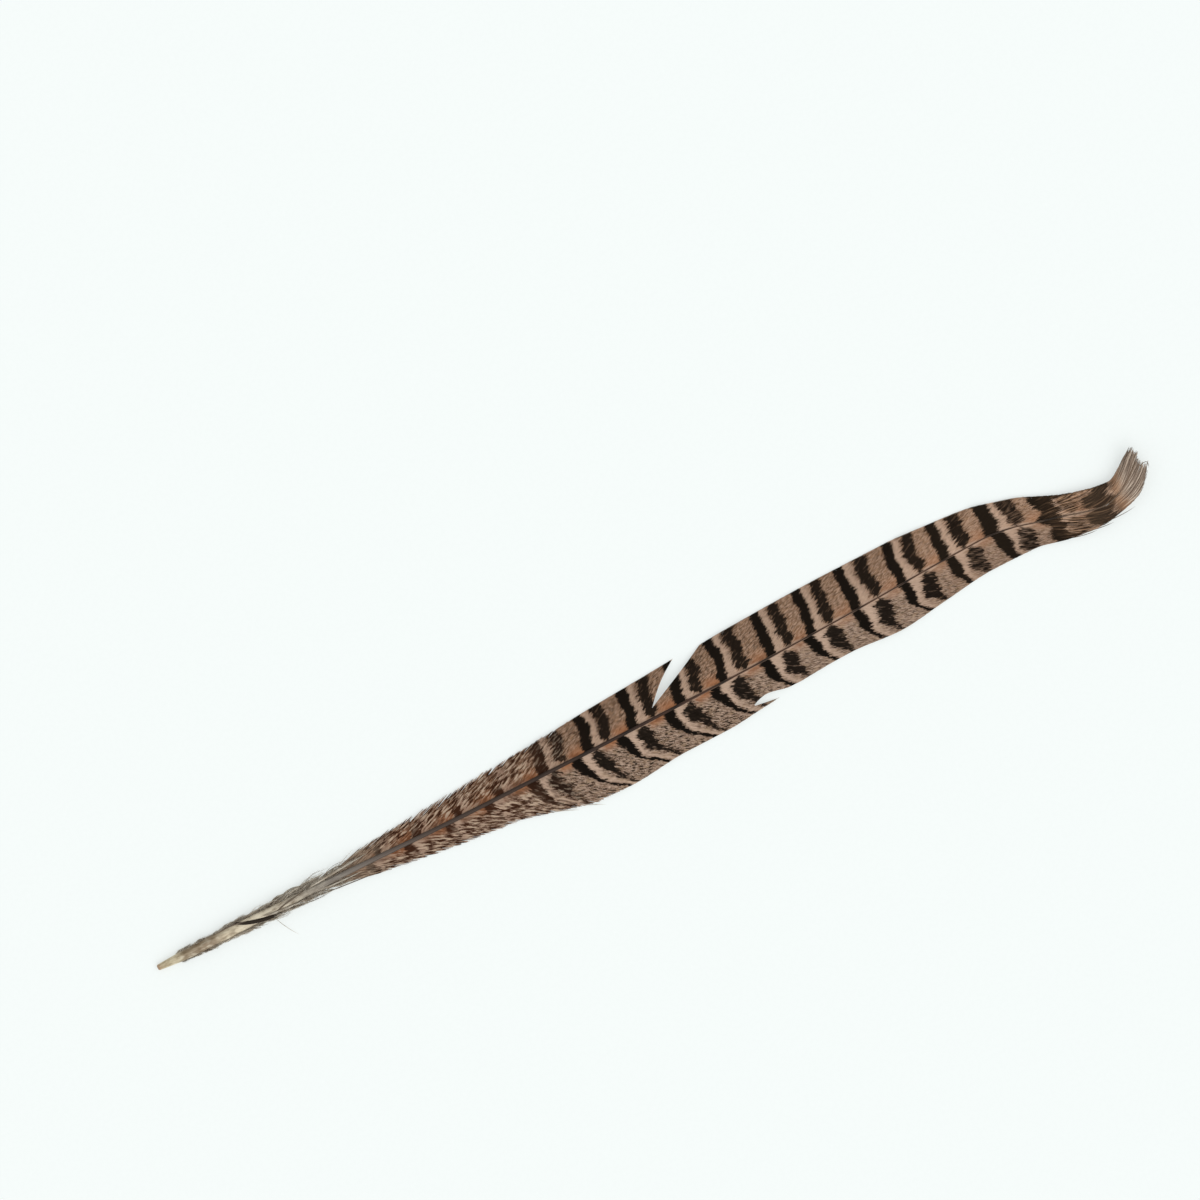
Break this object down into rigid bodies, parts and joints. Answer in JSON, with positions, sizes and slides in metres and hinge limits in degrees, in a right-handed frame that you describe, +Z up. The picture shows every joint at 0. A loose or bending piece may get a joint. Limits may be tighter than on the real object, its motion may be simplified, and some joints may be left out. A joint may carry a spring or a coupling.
{
  "type": "pheasant tail feather",
  "caption": "Long barred tail feather lying flat, with a quill, downy base, two locked vanes and a worn turned tip.",
  "frame": {"origin": "middle of the feather's footprint, on the surface that it rests on", "axes": "+X from the quill's end to the tip, +Y to the left of the shaft seen from above, +Z up out of the feather's upper side"},
  "size_m": [0.2659, 0.0236, 0.0041],
  "materials": {
    "vane": "matte barbs, buff and rufous with dark brown bars",
    "quill": "horny ivory quill with a soft gloss, dark and reddish further along",
    "down": "soft grey-brown down, matte"
  },
  "bodies": {
    "root": {"feather": "vane"}
  },
  "joints": []
}
